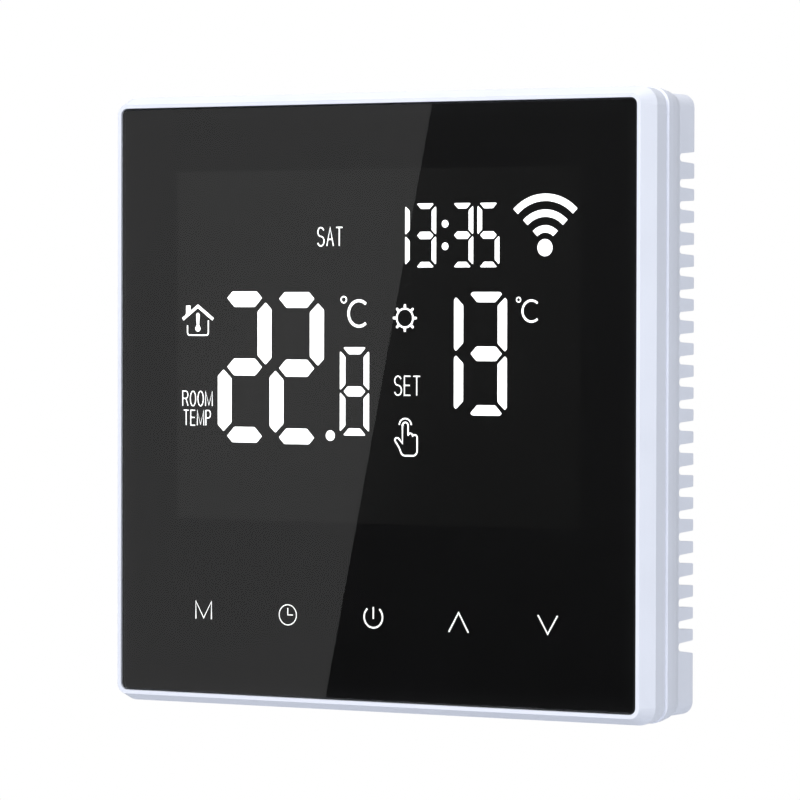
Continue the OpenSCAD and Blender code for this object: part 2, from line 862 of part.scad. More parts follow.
module terminal_block() {
    half = way_count * way_pitch / 2 + 0.6;
    color([0.16, 0.42, 0.24])
        difference() {
            block([-half, step_back, -20], [half, block_back, -8.9]);
            for (x = way_x) {
                // Room for the clamp, wire entry from below, bar slot, screw bores
                block([x - 2.1, clamp_low - 0.2, clamp_z - clamp_half_z - 0.2],
                      [x + 2.1, ledge_low, clamp_z + clamp_half_z + 0.2]);
                block([x - 1.8, clamp_low + 0.6, -21], [x + 1.8, bar_y1 + 0.2, clamp_z]);
                block([x - 1.45, bar_y0 - 0.15, clamp_z], [x + 1.45, bar_y1 + 0.15, -9.4]);
                block([x - 0.7, step_back - 1, -10.8], [x + 0.7, bar_y1 + 0.15, -9.4]);
                bar_y(x, clamp_z, 1.36, ledge_low - 1, ledge_high + 1);
                bar_y(x, clamp_z, 2.2, ledge_high, block_back + 1);
            }
        }
}

module terminal_bars() {
    color([0.8, 0.68, 0.35])
        for (x = way_x) {
            block([x - 1.3, bar_y0, -18.9], [x + 1.3, bar_y1, -9.6]);
            block([x - 0.5, power_board_back, -10.5], [x + 0.5, bar_y0 + 0.1, -9.8]);
        }
}

module terminal_screw(i) {
    color([0.78, 0.78, 0.8])
        translate([way_x[i], 0, clamp_z])
            difference() {
                union() {
                    bar_y(0, 0, 1.95, ledge_high + 0.06, ledge_high + 1.8);
                    bar_y(0, 0, 1.28, bar_y1 + 0.3, ledge_high + 0.2);
                }
                block([-1.5, ledge_high + 0.8, -0.25], [1.5, ledge_high + 2, 0.25]);
                block([-0.25, ledge_high + 0.8, -1.1], [0.25, ledge_high + 2, 1.1]);
            }
}

// Rising cage: the threaded plate on top, the wire seat below the fixed bar
module terminal_clamp(i) {
    x = way_x[i];
    color([0.85, 0.75, 0.45])
        difference() {
            block([x - 1.92, clamp_low, clamp_z - clamp_half_z],
                  [x + 1.92, clamp_low + clamp_h, clamp_z + clamp_half_z]);
            block([x - 1.5, clamp_low + 0.8, clamp_z - 5],
                  [x + 1.5, clamp_low + clamp_h - 1.2, clamp_z + 5]);
            bar_y(x, clamp_z, 1.34, clamp_low + clamp_h - 2, clamp_low + clamp_h + 1);
        }
}

bezel_frame();
glass_panel();
glass_mask();
glass_tape();
front_polariser();
lcd_cell();
rear_polariser();
diffuser_film();
light_guide();
reflector_film();
backlight_tray();
backlight_leds();
lcd_pins();
display_board();
board_screws();
touch_springs();
key_leds();
mcu_chip();
wifi_module();
buzzer();
clock_battery();
crystal();
board_passives();
room_sensor();
header_body();
header_pins();
base_shell();
power_box();
box_screws();
inner_cover();
cover_screws();
power_board();
header_socket();
relay_cover();
relay_base();
relay_coil();
relay_yoke();
relay_contacts();
relay_armature();
transformer_core();
transformer_winding();
safety_capacitor();
smoothing_capacitors();
varistor();
fuse();
terminal_block();
terminal_bars();
for (i = [1:6]) {
    terminal_screw(i - 1);
    terminal_clamp(i - 1);
}
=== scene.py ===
"""Looks of the wall thermostat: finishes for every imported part, the lit display and the touch symbols."""

import json
import math

import bmesh
import bpy
from mathutils import Matrix, Vector


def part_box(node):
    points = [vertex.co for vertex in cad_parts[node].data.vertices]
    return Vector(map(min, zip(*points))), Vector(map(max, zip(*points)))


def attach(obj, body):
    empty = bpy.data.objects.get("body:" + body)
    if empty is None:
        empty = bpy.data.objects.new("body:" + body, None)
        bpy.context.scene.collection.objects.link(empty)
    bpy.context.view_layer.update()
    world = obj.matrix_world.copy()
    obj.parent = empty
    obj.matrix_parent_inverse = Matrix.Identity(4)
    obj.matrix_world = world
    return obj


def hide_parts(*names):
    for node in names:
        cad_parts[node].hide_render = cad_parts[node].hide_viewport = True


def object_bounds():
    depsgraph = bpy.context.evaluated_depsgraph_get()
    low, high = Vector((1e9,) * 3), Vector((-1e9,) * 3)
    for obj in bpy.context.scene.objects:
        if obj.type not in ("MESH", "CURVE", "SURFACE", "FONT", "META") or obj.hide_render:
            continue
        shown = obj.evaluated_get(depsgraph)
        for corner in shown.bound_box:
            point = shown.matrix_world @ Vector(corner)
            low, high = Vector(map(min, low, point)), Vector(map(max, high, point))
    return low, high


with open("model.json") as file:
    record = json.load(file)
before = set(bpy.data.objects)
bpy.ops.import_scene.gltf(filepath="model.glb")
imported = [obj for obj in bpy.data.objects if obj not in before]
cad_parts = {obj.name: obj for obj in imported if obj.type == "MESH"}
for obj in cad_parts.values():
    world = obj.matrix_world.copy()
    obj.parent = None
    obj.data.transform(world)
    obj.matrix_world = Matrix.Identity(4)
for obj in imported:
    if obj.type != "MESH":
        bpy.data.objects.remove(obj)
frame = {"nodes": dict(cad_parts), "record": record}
cad_low, cad_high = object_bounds()

MM = 0.001
NODES = frame["nodes"]

# ---------------------------------------------------------------- places taken from the frame

GLASS_LOW, GLASS_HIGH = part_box("glass_panel")

GLASS_FRONT = GLASS_LOW.y
GLASS_BACK = GLASS_HIGH.y
PRINT_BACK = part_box("glass_mask")[1].y
INK_BITE = 0.02 * MM  # the ink is printed on the glass, so it reaches a hair into it
INK_FRONT = GLASS_BACK - INK_BITE
SYMBOL_DEPTH = 0.012 * MM
SYMBOL_FRONT = INK_FRONT - SYMBOL_DEPTH
PRINT_MARGIN = 0.02 * MM  # from the glass's edge to the edge of the print
PRINT_CORNER = 0.93 * MM
SHARPEST_JOINT = 0.62  # holds back how far a stroke's corner may stick out at a sharp bend

WINDOW_HALF_WIDTH = 32.4 * MM
WINDOW_LOW = -16.75 * MM
WINDOW_HIGH = 32.35 * MM
DISPLAY_X = 0.27 * MM  # the display's own middle lies this far right of the glass's middle


# ---------------------------------------------------------------- procedural finishes


class Finish:
    """One material: a Principled shader with helpers that add pattern nodes in object coordinates."""

    def __init__(self, name, colour, roughness, metallic=0.0):
        self.material = bpy.data.materials.new(name)
        self.material.use_nodes = True
        tree = self.material.node_tree
        self.nodes, self.links = tree.nodes, tree.links
        self.shader = self.nodes["Principled BSDF"]
        self.place = self.nodes.new("ShaderNodeTexCoord").outputs["Object"]
        self.colour = colour
        self.put("Base Color", (*colour, 1))
        self.put("Roughness", roughness)
        self.put("Metallic", metallic)
        self.relief = None

    def put(self, socket, value):
        self.shader.inputs[socket].default_value = value
        return self

    def join(self, source, target):
        self.links.new(source, target)

    def node(self, kind, inputs=None, **settings):
        made = self.nodes.new(kind)
        for key, value in settings.items():
            setattr(made, key, value)
        for key, value in (inputs or {}).items():
            if isinstance(value, bpy.types.NodeSocket):
                self.join(value, made.inputs[key])
            else:
                made.inputs[key].default_value = value
        return made

    def stretched(self, scale):
        """Object coordinates, stretched for brushed or wound looks."""
        return self.node("ShaderNodeMapping", {"Vector": self.place, "Scale": scale}).outputs["Vector"]

    def noise(self, size, detail=2.0, vector=None):
        """Soft noise whose blotches are about size metres across."""
        made = self.node("ShaderNodeTexNoise", {"Vector": vector or self.place})
        made.inputs["Scale"].default_value = 1 / size
        made.inputs["Detail"].default_value = detail
        return made.outputs["Fac"]

    def spread(self, source, low, high, start=0.3, end=0.7):
        """A 0 to 1 pattern mapped on to low to high."""
        made = self.node("ShaderNodeMapRange", {"Value": source})
        for key, value in (("From Min", start), ("From Max", end), ("To Min", low), ("To Max", high)):
            made.inputs[key].default_value = value
        return made.outputs["Result"]

    def blend(self, mask, first, second):
        """first where the mask is 0, second where it is 1."""
        made = self.node("ShaderNodeMix", data_type="RGBA")
        self.join(mask, made.inputs["Factor"])
        for key, value in (("A", first), ("B", second)):
            socket = next(s for s in made.inputs if s.name == key and s.type == "RGBA")
            if isinstance(value, bpy.types.NodeSocket):
                self.join(value, socket)
            else:
                socket.default_value = (*value, 1)
        return next(s for s in made.outputs if s.type == "RGBA")

    def tone(self, amount, size):
        """Slow colour variation of plus and minus amount."""
        dark = [c * (1 - amount) for c in self.colour]
        light = [min(1, c * (1 + amount)) for c in self.colour]
        mixed = self.blend(self.spread(self.noise(size), 0, 1), dark, light)
        self.join(mixed, self.shader.inputs["Base Color"])
        return self

    def sheen_change(self, low, high, size, vector=None):
        """Roughness that drifts between low and high."""
        self.join(self.spread(self.noise(size, 3, vector), low, high), self.shader.inputs["Roughness"])
        return self

    def soft_edges(self, radius):
        """Edges shaded as if rounded to this radius."""
        made = self.node("ShaderNodeBevel", samples=4)
        made.inputs["Radius"].default_value = radius
        self.relief = made.outputs["Normal"]
        self.join(self.relief, self.shader.inputs["Normal"])
        return self

    def bump(self, height, depth, strength=1.0):
        """Relief of the given depth in metres, on top of any relief that is there already."""
        made = self.node("ShaderNodeBump", {"Height": height, "Strength": strength, "Distance": depth})
        if self.relief:
            self.join(self.relief, made.inputs["Normal"])
        self.relief = made.outputs["Normal"]
        self.join(self.relief, self.shader.inputs["Normal"])
        return self


def moulded(name, colour, roughness, grain=0.25 * MM, depth=0.004 * MM, edge=0.12 * MM, drift=0.02):
    """Injection-moulded plastic with a spark-eroded grain and slightly rounded edges."""
    made = Finish(name, colour, roughness)
    made.tone(drift, 14 * MM)
    made.sheen_change(roughness - 0.05, roughness + 0.06, 5 * MM)
    made.soft_edges(edge)
    made.bump(made.noise(grain, 3), depth)
    return made


def metal(name, colour, roughness, streak=(1, 1, 1), drift=0.08, depth=0.002 * MM):
    """Bare or plated metal: mottled colour, streaked polish, faint scratches."""
    made = Finish(name, colour, roughness, 1.0)
    made.tone(drift, 1.2 * MM)
    streaks = made.stretched(streak)
    made.sheen_change(roughness * 0.7, roughness * 1.35, 0.5 * MM, streaks)
    made.soft_edges(0.06 * MM)
    made.bump(made.noise(0.12 * MM, 2, streaks), depth)
    return made


def ink():
    """Black ink on the back of the glass, with painted light: its colour is made a touch lighter near the
    edge to stand in for the light that the white frame throws on it.
    """
    made = Finish("black_print", (0.0035, 0.0035, 0.004), 0.9)
    made.put("Specular IOR Level", 0.0)
    flat = made.node("ShaderNodeSeparateXYZ", {"Vector": made.place})
    sides = [made.node("ShaderNodeMath", {0: flat.outputs[axis]}, operation="ABSOLUTE") for axis in "XZ"]
    both = {i: side.outputs[0] for i, side in enumerate(sides)}
    out = made.node("ShaderNodeMath", both, operation="MAXIMUM")
    # painted light: towards the glass's edge the ink's colour rises to (0.013, 0.013, 0.014), standing in
    # for light from the white frame
    rim = made.spread(out.outputs[0], 0, 1, GLASS_HIGH.x - 3 * MM, GLASS_HIGH.x + 0.5 * MM)
    painted_edge_light = made.node("ShaderNodeMath", {0: rim, 1: 2.0}, operation="POWER").outputs[0]
    blotches = made.spread(made.noise(9 * MM), 0, 1)
    uneven = made.blend(blotches, (0.003, 0.003, 0.0035), (0.004, 0.004, 0.0045))
    made.join(made.blend(painted_edge_light, uneven, (0.013, 0.013, 0.014)), made.shader.inputs["Base Color"])
    return made


def window_film():
    """Dark film over the display window: a touch lighter and glossier than the ink round it."""
    made = Finish("window_film", (0.005, 0.005, 0.005), 0.1)
    made.put("Specular IOR Level", 0.1)
    made.tone(0.06, 12 * MM)
    made.sheen_change(0.08, 0.12, 20 * MM)
    return made


def lit(name, colour, strength):
    """A lit display segment: an even white glow, slightly milky where it is off."""
    made = Finish(name, colour, 0.5)
    made.tone(0.03, 2 * MM)
    made.put("Emission Color", (*colour, 1))
    made.put("Emission Strength", strength)
    made.bump(made.noise(0.1 * MM), 0.001 * MM)
    return made


def cover_glass():
    """Clear float glass, very slightly uneven in tint."""
    made = Finish("front_glass", (0.985, 1.0, 0.99), 0.0)
    made.put("Transmission Weight", 1.0)
    made.put("IOR", 1.5)
    made.tone(0.01, 30 * MM)
    return made


def clear_plastic():
    """Acrylic light guide with a fine printed dot pattern on it."""
    made = Finish("clear_acrylic", (0.95, 0.98, 0.97), 0.08)
    made.put("Transmission Weight", 0.9)
    made.put("IOR", 1.49)
    dots = made.node("ShaderNodeTexVoronoi", {"Vector": made.place, "Scale": 1 / (0.8 * MM)})
    made.bump(dots.outputs["Distance"], 0.02 * MM)
    made.sheen_change(0.05, 0.15, 4 * MM)
    return made


def film(name, colour, roughness):
    """Smooth optical film with slow ripples in its gloss."""
    made = Finish(name, colour, roughness)
    made.tone(0.03, 8 * MM)
    made.sheen_change(roughness * 0.8, roughness * 1.2, 3 * MM)
    made.bump(made.noise(6 * MM), 0.01 * MM)
    return made


def foam(name, colour):
    """Black foam tape with open cells at its cut edge."""
    made = Finish(name, colour, 0.95)
    cells = made.node("ShaderNodeTexVoronoi", {"Vector": made.place, "Scale": 1 / (0.12 * MM)})
    made.tone(0.3, 0.6 * MM)
    made.bump(cells.outputs["Distance"], 0.05 * MM)
    return made


def tracks(made, plane, run, pitch, turn):
    """Parallel copper tracks with a step where each one ends, as a 0 to 1 mask."""
    turned = made.node("ShaderNodeMapping", {"Vector": plane, "Rotation": (0, 0, turn)}).outputs["Vector"]
    pattern = made.node("ShaderNodeTexBrick", {"Vector": turned, "Scale": 1.0})
    pattern.offset, pattern.offset_frequency = 0.41, 3
    for key, value in (
        ("Brick Width", run),
        ("Row Height", pitch),
        ("Mortar Size", 0.2 * pitch),
        ("Mortar Smooth", 0.3),
    ):
        pattern.inputs[key].default_value = value
    return pattern.outputs["Fac"]


def printed_board():
    """Green solder mask over copper: patches of upright and level tracks, plated holes, a fibre weave."""
    made = Finish("circuit_board", (0.012, 0.105, 0.045), 0.32)
    flat = made.node("ShaderNodeSeparateXYZ", {"Vector": made.place})
    face = {"X": flat.outputs["X"], "Y": flat.outputs["Z"]}
    plane = made.node("ShaderNodeCombineXYZ", face).outputs["Vector"]
    level = tracks(made, plane, 17 * MM, 0.8 * MM, 0)
    upright = tracks(made, plane, 23 * MM, 1.1 * MM, math.radians(90))
    patch = made.spread(made.noise(9 * MM, 0, plane), 0, 1, 0.49, 0.5)
    mixed = made.node("ShaderNodeMix", {"Factor": patch, 2: level, 3: upright}).outputs[0]
    pour = made.spread(made.noise(13 * MM, 1, plane), 1, 0, 0.55, 0.56)
    copper = made.node("ShaderNodeMath", {0: mixed, 1: pour}, operation="MULTIPLY").outputs[0]
    mask = made.blend(copper, made.colour, (0.022, 0.16, 0.068))
    holes = made.node("ShaderNodeTexVoronoi", {"Vector": plane, "Scale": 1 / (3.4 * MM)})
    via = made.spread(holes.outputs["Distance"], 1, 0, 0.085, 0.1)
    made.join(made.blend(via, mask, (0.62, 0.56, 0.38)), made.shader.inputs["Base Color"])
    made.sheen_change(0.24, 0.4, 2 * MM)
    made.soft_edges(0.05 * MM)
    made.bump(copper, 0.03 * MM)
    weave = made.node("ShaderNodeTexWave", {"Vector": plane, "Scale": 1 / (2.4 * MM), "Distortion": 0.6})
    made.bump(weave.outputs["Fac"], 0.002 * MM)
    return made


def chips(name, colour):
    """Black epoxy of chip packages, with a matt moulding grain."""
    return moulded(name, colour, 0.55, 0.08 * MM, 0.003 * MM, 0.05 * MM, 0.15)


def small_parts():
    """Surface-mount parts: each solid is a tan capacitor or a black resistor."""
    made = Finish("smd_parts", (0.3, 0.2, 0.12), 0.4)
    lot = made.node("ShaderNodeNewGeometry").outputs["Random Per Island"]
    kind = made.blend(made.spread(lot, 0, 1, 0.45, 0.5), (0.36, 0.25, 0.15), (0.02, 0.02, 0.022))
    grime = made.blend(made.spread(made.noise(0.3 * MM), 0, 0.2), kind, (0.5, 0.45, 0.38))
    made.join(grime, made.shader.inputs["Base Color"])
    made.sheen_change(0.3, 0.5, 0.4 * MM)
    made.soft_edges(0.04 * MM)
    made.bump(made.noise(0.08 * MM), 0.003 * MM)
    return made


def coil(name, colour, pitch, gloss):
    """Enamelled wire or tape wound in layers: fine ridges at the given pitch along the axis, with painted
    shade darkening the grooves between the turns.
    """
    made = Finish(name, colour, gloss, 0.55)
    turns = made.node("ShaderNodeTexWave", {"Vector": made.place, "Scale": 1 / (3.2 * pitch)})
    turns.bands_direction = "Y"
    # painted shade: in the grooves between the turns the colour falls to 0.45 of itself
    groove_shade = [c * 0.45 for c in colour]
    made.join(made.blend(turns.outputs["Fac"], groove_shade, colour), made.shader.inputs["Base Color"])
    made.sheen_change(gloss * 0.8, gloss * 1.3, 1 * MM)
    made.bump(turns.outputs["Fac"], pitch / 3)
    return made


def dipped(name, colour):
    """Dipped epoxy coat: glossy, lumpy, a little uneven in colour."""
    made = Finish(name, colour, 0.22)
    made.tone(0.12, 1.5 * MM)
    made.put("Coat Weight", 0.4)
    made.sheen_change(0.16, 0.32, 1.2 * MM)
    made.bump(made.noise(1.4 * MM), 0.08 * MM)
    return made


def sintered(name, colour):
    """Ferrite or laminated core: dull grey-black with a coarse speckle."""
    made = Finish(name, colour, 0.62)
    made.tone(0.35, 0.35 * MM)
    made.soft_edges(0.08 * MM)
    made.sheen_change(0.5, 0.75, 0.8 * MM)
    made.bump(made.noise(0.25 * MM, 4), 0.02 * MM)
    return made


def wrapped_tape(name, colour):
    """Polyester tape wound round a transformer, with the step of each lap."""
    made = Finish(name, colour, 0.24)
    laps = made.node("ShaderNodeTexWave", {"Vector": made.place, "Scale": 1 / (5 * MM)})
    laps.wave_profile = "SAW"
    laps.bands_direction = "Y"
    made.tone(0.08, 2 * MM)
    made.sheen_change(0.18, 0.34, 1.5 * MM)
    made.bump(laps.outputs["Fac"], 0.06 * MM)
    return made


FINISHES = {
    "white_case": moulded("white_case", (0.79, 0.813, 0.905), 0.36, edge=0.03 * MM),
    "box_case": moulded("box_case", (0.74, 0.76, 0.80), 0.5, 0.4 * MM, 0.008 * MM),
    "front_glass": cover_glass(),
    "black_print": ink(),
    "black_tape": foam("black_tape", (0.012, 0.012, 0.013)),
    "polariser": film("polariser", (0.03, 0.034, 0.034), 0.16),
    "lcd_glass": film("lcd_glass", (0.10, 0.13, 0.115), 0.07),
    "white_film": film("white_film", (0.84, 0.85, 0.86), 0.35),
    "clear_acrylic": clear_plastic(),
    "white_tray": moulded("white_tray", (0.83, 0.83, 0.82), 0.42, 0.3 * MM),
    "led_body": moulded("led_body", (0.86, 0.74, 0.30), 0.3, 0.1 * MM),
    "tin_plate": metal("tin_plate", (0.72, 0.71, 0.69), 0.32),
    "circuit_board": printed_board(),
    "steel_screw": metal("steel_screw", (0.60, 0.61, 0.62), 0.3),
    "spring_wire": metal("spring_wire", (0.74, 0.68, 0.55), 0.25, (1, 6, 1)),
    "chip_black": chips("chip_black", (0.016, 0.016, 0.018)),
    "shield_can": metal("shield_can", (0.70, 0.70, 0.69), 0.28, (1, 1, 8)),
    "battery_metal": metal("battery_metal", (0.74, 0.74, 0.73), 0.2, (6, 1, 1)),
    "smd_parts": small_parts(),
    "sensor_bead": dipped("sensor_bead", (0.02, 0.02, 0.024)),
    "gold_pins": metal("gold_pins", (0.85, 0.64, 0.28), 0.22, (1, 5, 1)),
    "insulator": moulded("insulator", (0.018, 0.018, 0.02), 0.45, 0.15 * MM),
    "relay_blue": moulded("relay_blue", (0.02, 0.11, 0.40), 0.28, 0.3 * MM),
    "winding": coil("winding", (0.62, 0.23, 0.07), 0.16 * MM, 0.3),
    "magnet_steel": metal("magnet_steel", (0.44, 0.43, 0.41), 0.38),
    "contact_metal": metal("contact_metal", (0.78, 0.76, 0.72), 0.26, (1, 5, 1)),
    "ferrite": sintered("ferrite", (0.045, 0.045, 0.05)),
    "trafo_tape": wrapped_tape("trafo_tape", (0.82, 0.60, 0.06)),
    "film_cap": moulded("film_cap", (0.78, 0.55, 0.08), 0.3, 0.3 * MM),
    "can_sleeve": moulded("can_sleeve", (0.02, 0.024, 0.06), 0.3, 0.5 * MM),
    "varistor_coat": dipped("varistor_coat", (0.03, 0.16, 0.36)),
    "fuse_metal": metal("fuse_metal", (0.68, 0.68, 0.66), 0.22),
    "terminal_green": moulded("terminal_green", (0.02, 0.27, 0.10), 0.36, 0.3 * MM),
    "bar_metal": metal("bar_metal", (0.76, 0.69, 0.50), 0.28, (1, 5, 1)),
}
WINDOW_FILM = window_film()
DISPLAY_LIGHT = lit("display_light", (1.0, 1.0, 1.0), 1.25)
KEY_LIGHT = lit("key_light", (0.97, 0.97, 0.95), 1.0)


def dress(piece, finish):
    piece.data.materials.clear()
    piece.data.materials.append(finish.material)


def dress_frame():
    for sub in frame["record"]["subparts"]:
        dress(NODES[sub["node"]], FINISHES[sub["material_slot"]])


# ---------------------------------------------------------------- outlines, in millimetres on the glass


def arc(centre, radii, start, end, steps=24):
    """Points on an ellipse, angles in degrees, anticlockwise from +X."""
    turn = [math.radians(start + (end - start) * i / steps) for i in range(steps + 1)]
    return [(centre[0] + radii[0] * math.cos(a), centre[1] + radii[1] * math.sin(a)) for a in turn]


def disc(centre, radius):
    """A filled circle, with fewer corners when it is small."""
    turn = 22.5 if radius < 0.5 else 10
    return arc(centre, (radius, radius), 0, 360 - turn, round(360 / turn) - 1)


def ring_part(centre, outer, thick, start, end):
    """A band of a ring, cut off along its radii."""
    inner = outer - thick
    return arc(centre, (outer, outer), start, end) + arc(centre, (inner, inner), end, start)


def rounded(points, radius):
    """The outline with each corner cut by a short curve."""
    made = []
    count = len(points)
    for i in range(count):
        corner = Vector(points[i])
        before = Vector(points[i - 1]) - corner
        after = Vector(points[(i + 1) % count]) - corner
        reach = min(radius, before.length * 0.45, after.length * 0.45)
        first = corner + before.normalized() * reach
        last = corner + after.normalized() * reach
        for t in (0, 0.33, 0.67, 1):
            made.append(tuple(first.lerp(corner, t).lerp(corner.lerp(last, t), t)))
    return made


# ---------------------------------------------------------------- seven-segment digits


class Digits:
    """How one size of digit is built. Every length is in millimetres."""

    def __init__(self, width, height, bar, middle, post, inset, gap, tip, corner):
        self.width, self.height = width, height
        self.bar, self.middle, self.post = bar, middle, post  # stroke thicknesses
        self.inset = inset  # from the digit's corner to the tip of each stroke
        self.gap = gap  # between the tips of the upper and lower posts
        self.tip = tip  # where a stroke's tip lies across it: 0 at its outer edge, 0.5 in the middle
        self.corner = corner

    def stroke(self, start, along, inward, length, thick, tip):
        """A stroke with two pointed ends, from start, whose outer edge faces away from inward."""
        start, along, inward = Vector(start), Vector(along), Vector(inward)
        outer = thick * tip * 0.95 + 0.02
        inner = thick * (1 - tip) * 0.95
        upper = [(0, tip), (outer, 0), (length - outer, 0)]
        corners = upper + [(length, tip), (length - inner, 1), (inner, 1)]
        points = [start + along * u + inward * v * thick for u, v in corners]
        return rounded([tuple(p) for p in points], self.corner)

    def strokes(self, left, low, lit_strokes):
        """Outlines of the lit strokes of one digit, named a to g as usual, from its low left corner."""
        right, high = left + self.width, low + self.height
        across = self.width - 2 * self.inset
        tall = (self.height - 2 * self.inset - self.gap) / 2
        flat = (left + self.inset, across)
        middle = low + self.height / 2 + self.middle / 2
        upper = low + self.inset + tall + self.gap
        made = {
            "a": ((flat[0], high), (1, 0), (0, -1), flat[1], self.bar, self.tip),
            "g": ((flat[0], middle), (1, 0), (0, -1), flat[1], self.middle, 0.5),
            "d": ((flat[0], low), (1, 0), (0, 1), flat[1], self.bar, self.tip),
            "f": ((left, upper), (0, 1), (1, 0), tall, self.post, self.tip),
            "b": ((right, upper), (0, 1), (-1, 0), tall, self.post, self.tip),
            "e": ((left, low + self.inset), (0, 1), (1, 0), tall, self.post, self.tip),
            "c": ((right, low + self.inset), (0, 1), (-1, 0), tall, self.post, self.tip),
        }
        return [self.stroke(*made[name]) for name in lit_strokes]


LIT = {1: "fe", 2: "abged", 3: "abgcd", 5: "afgcd", 8: "abcdefg"}
ROOM_DIGITS = Digits(8.9, 21.25, 2.2, 2.4, 2.3, 1.55, 0.72, 0.42, 0.14)
TENTHS_DIGITS = Digits(4.73, 12.27, 1.0, 1.4, 0.9, 0.6, 0.42, 0.12, 0.14)
CLOCK_DIGITS = Digits(3.45, 8.8, 0.76, 1.02, 0.73, 0.43, 0.3, 0.15, 0.1)
SET_DIGITS = Digits(6.5, 16.88, 1.42, 2.0, 1.46, 0.78, 0.62, 0.22, 0.14)


# ---------------------------------------------------------------- letters, as pen strokes in a unit box

LETTER_WIDTH = {"M": 1.25, "E": 0.85, "T": 0.95, "P": 0.9}


def pen_strokes(letter):
    """The pen's path for each stroke of a letter, in a box one wide and one high."""
    bowl = [(0, 0), (0, 1), (0.55, 1)] + arc((0.55, 0.75), (0.42, 0.25), 80, -80, 10) + [(0, 0.5)]
    paths = {
        "A": [[(0, 0), (0.5, 1), (1, 0)], [(0.2, 0.36), (0.8, 0.36)]],
        "C": [arc((0.53, 0.5), (0.53, 0.5), 48, 312)],
        "E": [[(1, 1), (0, 1), (0, 0), (1, 0)], [(0, 0.52), (0.9, 0.52)]],
        "M": [[(0, 0), (0, 1), (0.5, 0.06), (1, 1), (1, 0)]],
        "O": [arc((0.5, 0.5), (0.5, 0.5), 0, 360)],
        "P": [bowl],
        "R": [bowl, [(0.6, 0.5), (1, 0)]],
        "S": [arc((0.5, 0.76), (0.46, 0.24), 20, 262, 14) + arc((0.5, 0.26), (0.5, 0.26), 82, -160, 14)],
        "T": [[(0, 1), (1, 1)], [(0.5, 1), (0.5, 0)]],
    }
    return paths[letter]


def word(text, low, high, pen, gap=0.42):
    """Pen strokes of a word that fills the box from low to high."""
    widths = [LETTER_WIDTH.get(letter, 1.0) for letter in text]
    span = sum(widths) + gap * (len(text) - 1)
    unit = (high[0] - low[0] - pen) / span
    tall = high[1] - low[1] - pen
    made, x = [], low[0] + pen / 2
    for letter, width in zip(text, widths):
        for path in pen_strokes(letter):
            made.append([(x + u * width * unit, low[1] + pen / 2 + v * tall) for u, v in path])
        x += (width + gap) * unit
    return made


# ---------------------------------------------------------------- meshes of the printed and lit pieces


def finished_shape(name, shape, finish):
    """The shape as a piece of its own, which rides on the front unit."""
    bmesh.ops.recalc_face_normals(shape, faces=shape.faces)
    mesh = bpy.data.meshes.new(name)
    shape.to_mesh(mesh)
    shape.free()
    piece = bpy.data.objects.new(name, mesh)
    bpy.context.scene.collection.objects.link(piece)
    dress(piece, finish)
    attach(piece, "front_unit")
    return piece


def plate_into(shape, outline, front, depth, shift):
    """One flat plate: the outline, in millimetres, facing -Y at front."""
    near = [shape.verts.new((x * MM + shift, front, z * MM)) for x, z in outline]
    far = [shape.verts.new((x * MM + shift, front + depth, z * MM)) for x, z in outline]
    count = len(outline)
    shape.faces.new(near)
    shape.faces.new(reversed(far))
    for i in range(count):
        j = (i + 1) % count
        shape.faces.new((near[j], near[i], far[i], far[j]))


def pen_into(shape, path, pen, front, depth, shift):
    """A stroke of even width along the path, with mitred joints, as short plates side by side."""
    points = [Vector(p) for p in path]
    half = pen / 2
    closed = (points[0] - points[-1]).length < 1e-6
    if closed:
        points.pop()
    count = len(points)
    left, right = [], []
    for i, point in enumerate(points):
        ahead = points[(i + 1) % count] - point if closed or i < count - 1 else None
        behind = point - points[i - 1] if closed or i > 0 else None
        first = (behind or ahead).normalized()
        second = (ahead or behind).normalized()
        middle = (first + second).normalized()
        reach = half / max(SHARPEST_JOINT, middle.dot(first))
        side = Vector((-middle.y, middle.x)) * reach
        left.append(point + side)
        right.append(point - side)
    last = count if closed else count - 1
    rings = []
    for y in (front, front + depth):
        ring = []
        for line in (left, right):
            ring.append([shape.verts.new((p.x * MM + shift, y, p.y * MM)) for p in line])
        rings.append(ring)
    (near_left, near_right), (far_left, far_right) = rings
    for i in range(last):
        j = (i + 1) % count
        shape.faces.new((near_left[i], near_right[i], near_right[j], near_left[j]))
        shape.faces.new((far_right[i], far_left[i], far_left[j], far_right[j]))
        shape.faces.new((near_left[i], near_left[j], far_left[j], far_left[i]))
        shape.faces.new((near_right[j], near_right[i], far_right[i], far_right[j]))
    if not closed:
        for i, tilt in ((0, 1), (count - 1, -1)):
            quad = (near_left[i], far_left[i], far_right[i], near_right[i])
            shape.faces.new(quad if tilt > 0 else reversed(quad))


def symbol(name, plates=(), pens=(), pen=0.3, finish=None, shift=DISPLAY_X):
    """A lit sign behind the glass, from filled outlines and pen strokes in millimetres."""
    shape = bmesh.new()
    for outline in plates:
        plate_into(shape, outline, SYMBOL_FRONT, SYMBOL_DEPTH, shift)
    for path in pens:
        pen_into(shape, path, pen, SYMBOL_FRONT, SYMBOL_DEPTH, shift)
    return finished_shape(name, shape, finish or DISPLAY_LIGHT)


def shifted(outline, dx, dz):
    return [(x + dx, z + dz) for x, z in outline]


# ---------------------------------------------------------------- what the display shows


def room_temperature():
    plates = ROOM_DIGITS.strokes(-25.85, -5.85, LIT[2]) + ROOM_DIGITS.strokes(-17.25, -5.95, LIT[2])
    symbol("room_digits", plates)
    symbol("room_tenths", TENTHS_DIGITS.strokes(-5.74, -4.6, LIT[8]) + [disc((-7.28, -4.66), 0.74)])
    symbol("room_degree_ring", pens=[arc((-5.13, 14.25), (0.43, 0.43), 0, 360)], pen=0.2)
    symbol("room_degree_letter", pens=word("C", (-4.55, 10.36), (-1.0, 14.31), 0.4), pen=0.4)
    pen = 0.15
    upper = word("ROOM", (-31.82, -0.87), (-26.7, 1.36), pen)
    lower = word("TEMP", (-31.65, -3.61), (-26.98, -1.34), pen)
    symbol("room_label", pens=upper + lower, pen=pen)


